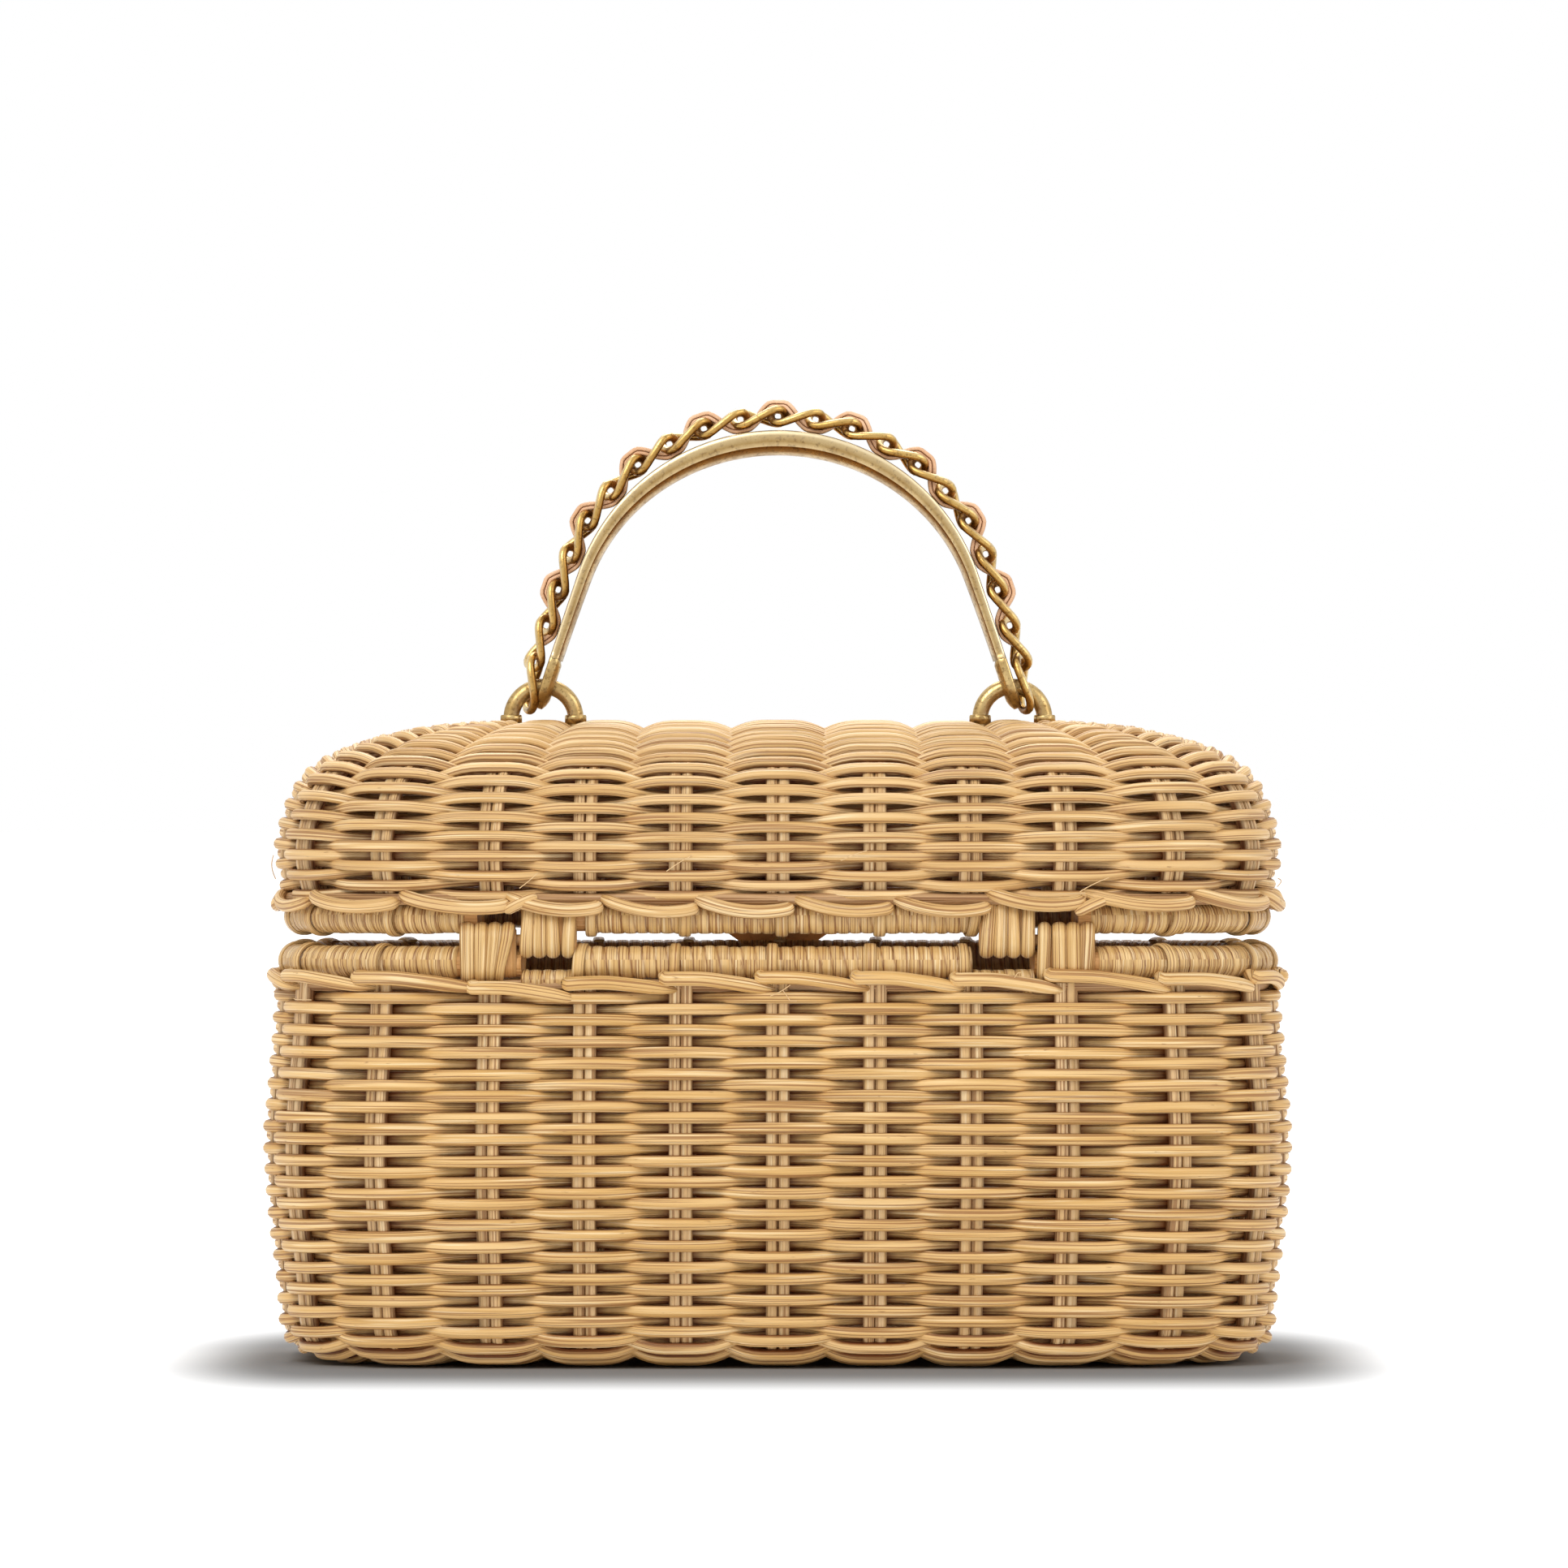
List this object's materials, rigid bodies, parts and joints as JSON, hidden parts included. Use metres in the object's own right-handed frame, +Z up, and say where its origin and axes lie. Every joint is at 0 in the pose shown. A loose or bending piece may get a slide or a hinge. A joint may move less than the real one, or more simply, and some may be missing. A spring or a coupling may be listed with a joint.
{
  "type": "rattan vanity case",
  "caption": "Woven rattan vanity case with a domed hinged lid, cane-wrapped rims, knuckle hinges and a brass top handle laced with chain and leather.",
  "frame": {"origin": "on the floor under the middle of the case's plan, at the centre of the flat woven underside", "axes": "+Z up; +X along the case's long side; the hinges are on the -Y side and the turn knob on the +Y side"},
  "size_m": [0.2604, 0.1356, 0.2421],
  "materials": {
    "weave_base": "woven round rattan reed, satin",
    "weave_lid": "woven round rattan reed, satin",
    "strands": "round rattan strands, satin",
    "wrapped_cane": "split cane wrapping, satin",
    "brass": "brushed and aged",
    "leather": "smooth vegetable-tanned"
  },
  "bodies": {
    "base": {"base_basket": "weave_base", "base_border": "strands", "base_knuckle_left": "wrapped_cane", "base_knuckle_right": "wrapped_cane", "base_rim": "wrapped_cane", "hinge_pin_left": "wrapped_cane", "hinge_pin_right": "wrapped_cane", "knob_back_plate": "brass", "knob_pins": "brass", "knob_plate": "brass"},
    "lid": {"closure_tab": "leather", "lid_basket": "weave_lid", "lid_border": "strands", "lid_knuckle_left": "wrapped_cane", "lid_knuckle_right": "wrapped_cane", "lid_rim": "wrapped_cane", "ring_collars": "brass", "ring_left": "brass", "ring_nuts": "brass", "ring_right": "brass", "ring_washers": "brass", "tab_rivets": "brass"},
    "turn_knob": {"turn_knob": "brass"},
    "handle": {"chain_end_link_left": "brass", "chain_end_link_right": "brass", "chain_link_01": "brass", "chain_link_02": "brass", "chain_link_03": "brass", "chain_link_04": "brass", "chain_link_05": "brass", "chain_link_06": "brass", "chain_link_07": "brass", "chain_link_08": "brass", "chain_link_09": "brass", "chain_link_10": "brass", "chain_link_11": "brass", "chain_link_12": "brass", "chain_link_13": "brass", "chain_link_14": "brass", "chain_link_15": "brass", "chain_link_16": "brass", "chain_link_17": "brass", "chain_link_18": "brass", "chain_link_19": "brass", "chain_link_20": "brass", "handle_bar": "brass", "leather_lace": "leather"}
  },
  "joints": [
    {"name": "lid_hinge", "type": "hinge", "parent": "base", "child": "lid", "pos_m": [0, -0.0578, 0.1071], "axis": [1, 0, 0], "range_deg": [0, 100], "deforming": ["closure_tab"]},
    {"name": "handle_swing", "type": "hinge", "parent": "lid", "child": "handle", "pos_m": [0, 0, 0.1708], "axis": [1, 0, 0], "range_deg": [-90, 90]},
    {"name": "knob_turn", "type": "hinge", "parent": "base", "child": "turn_knob", "pos_m": [0, 0.064, 0.082], "axis": [0, 1, 0], "range_deg": [0, 90]}
  ]
}
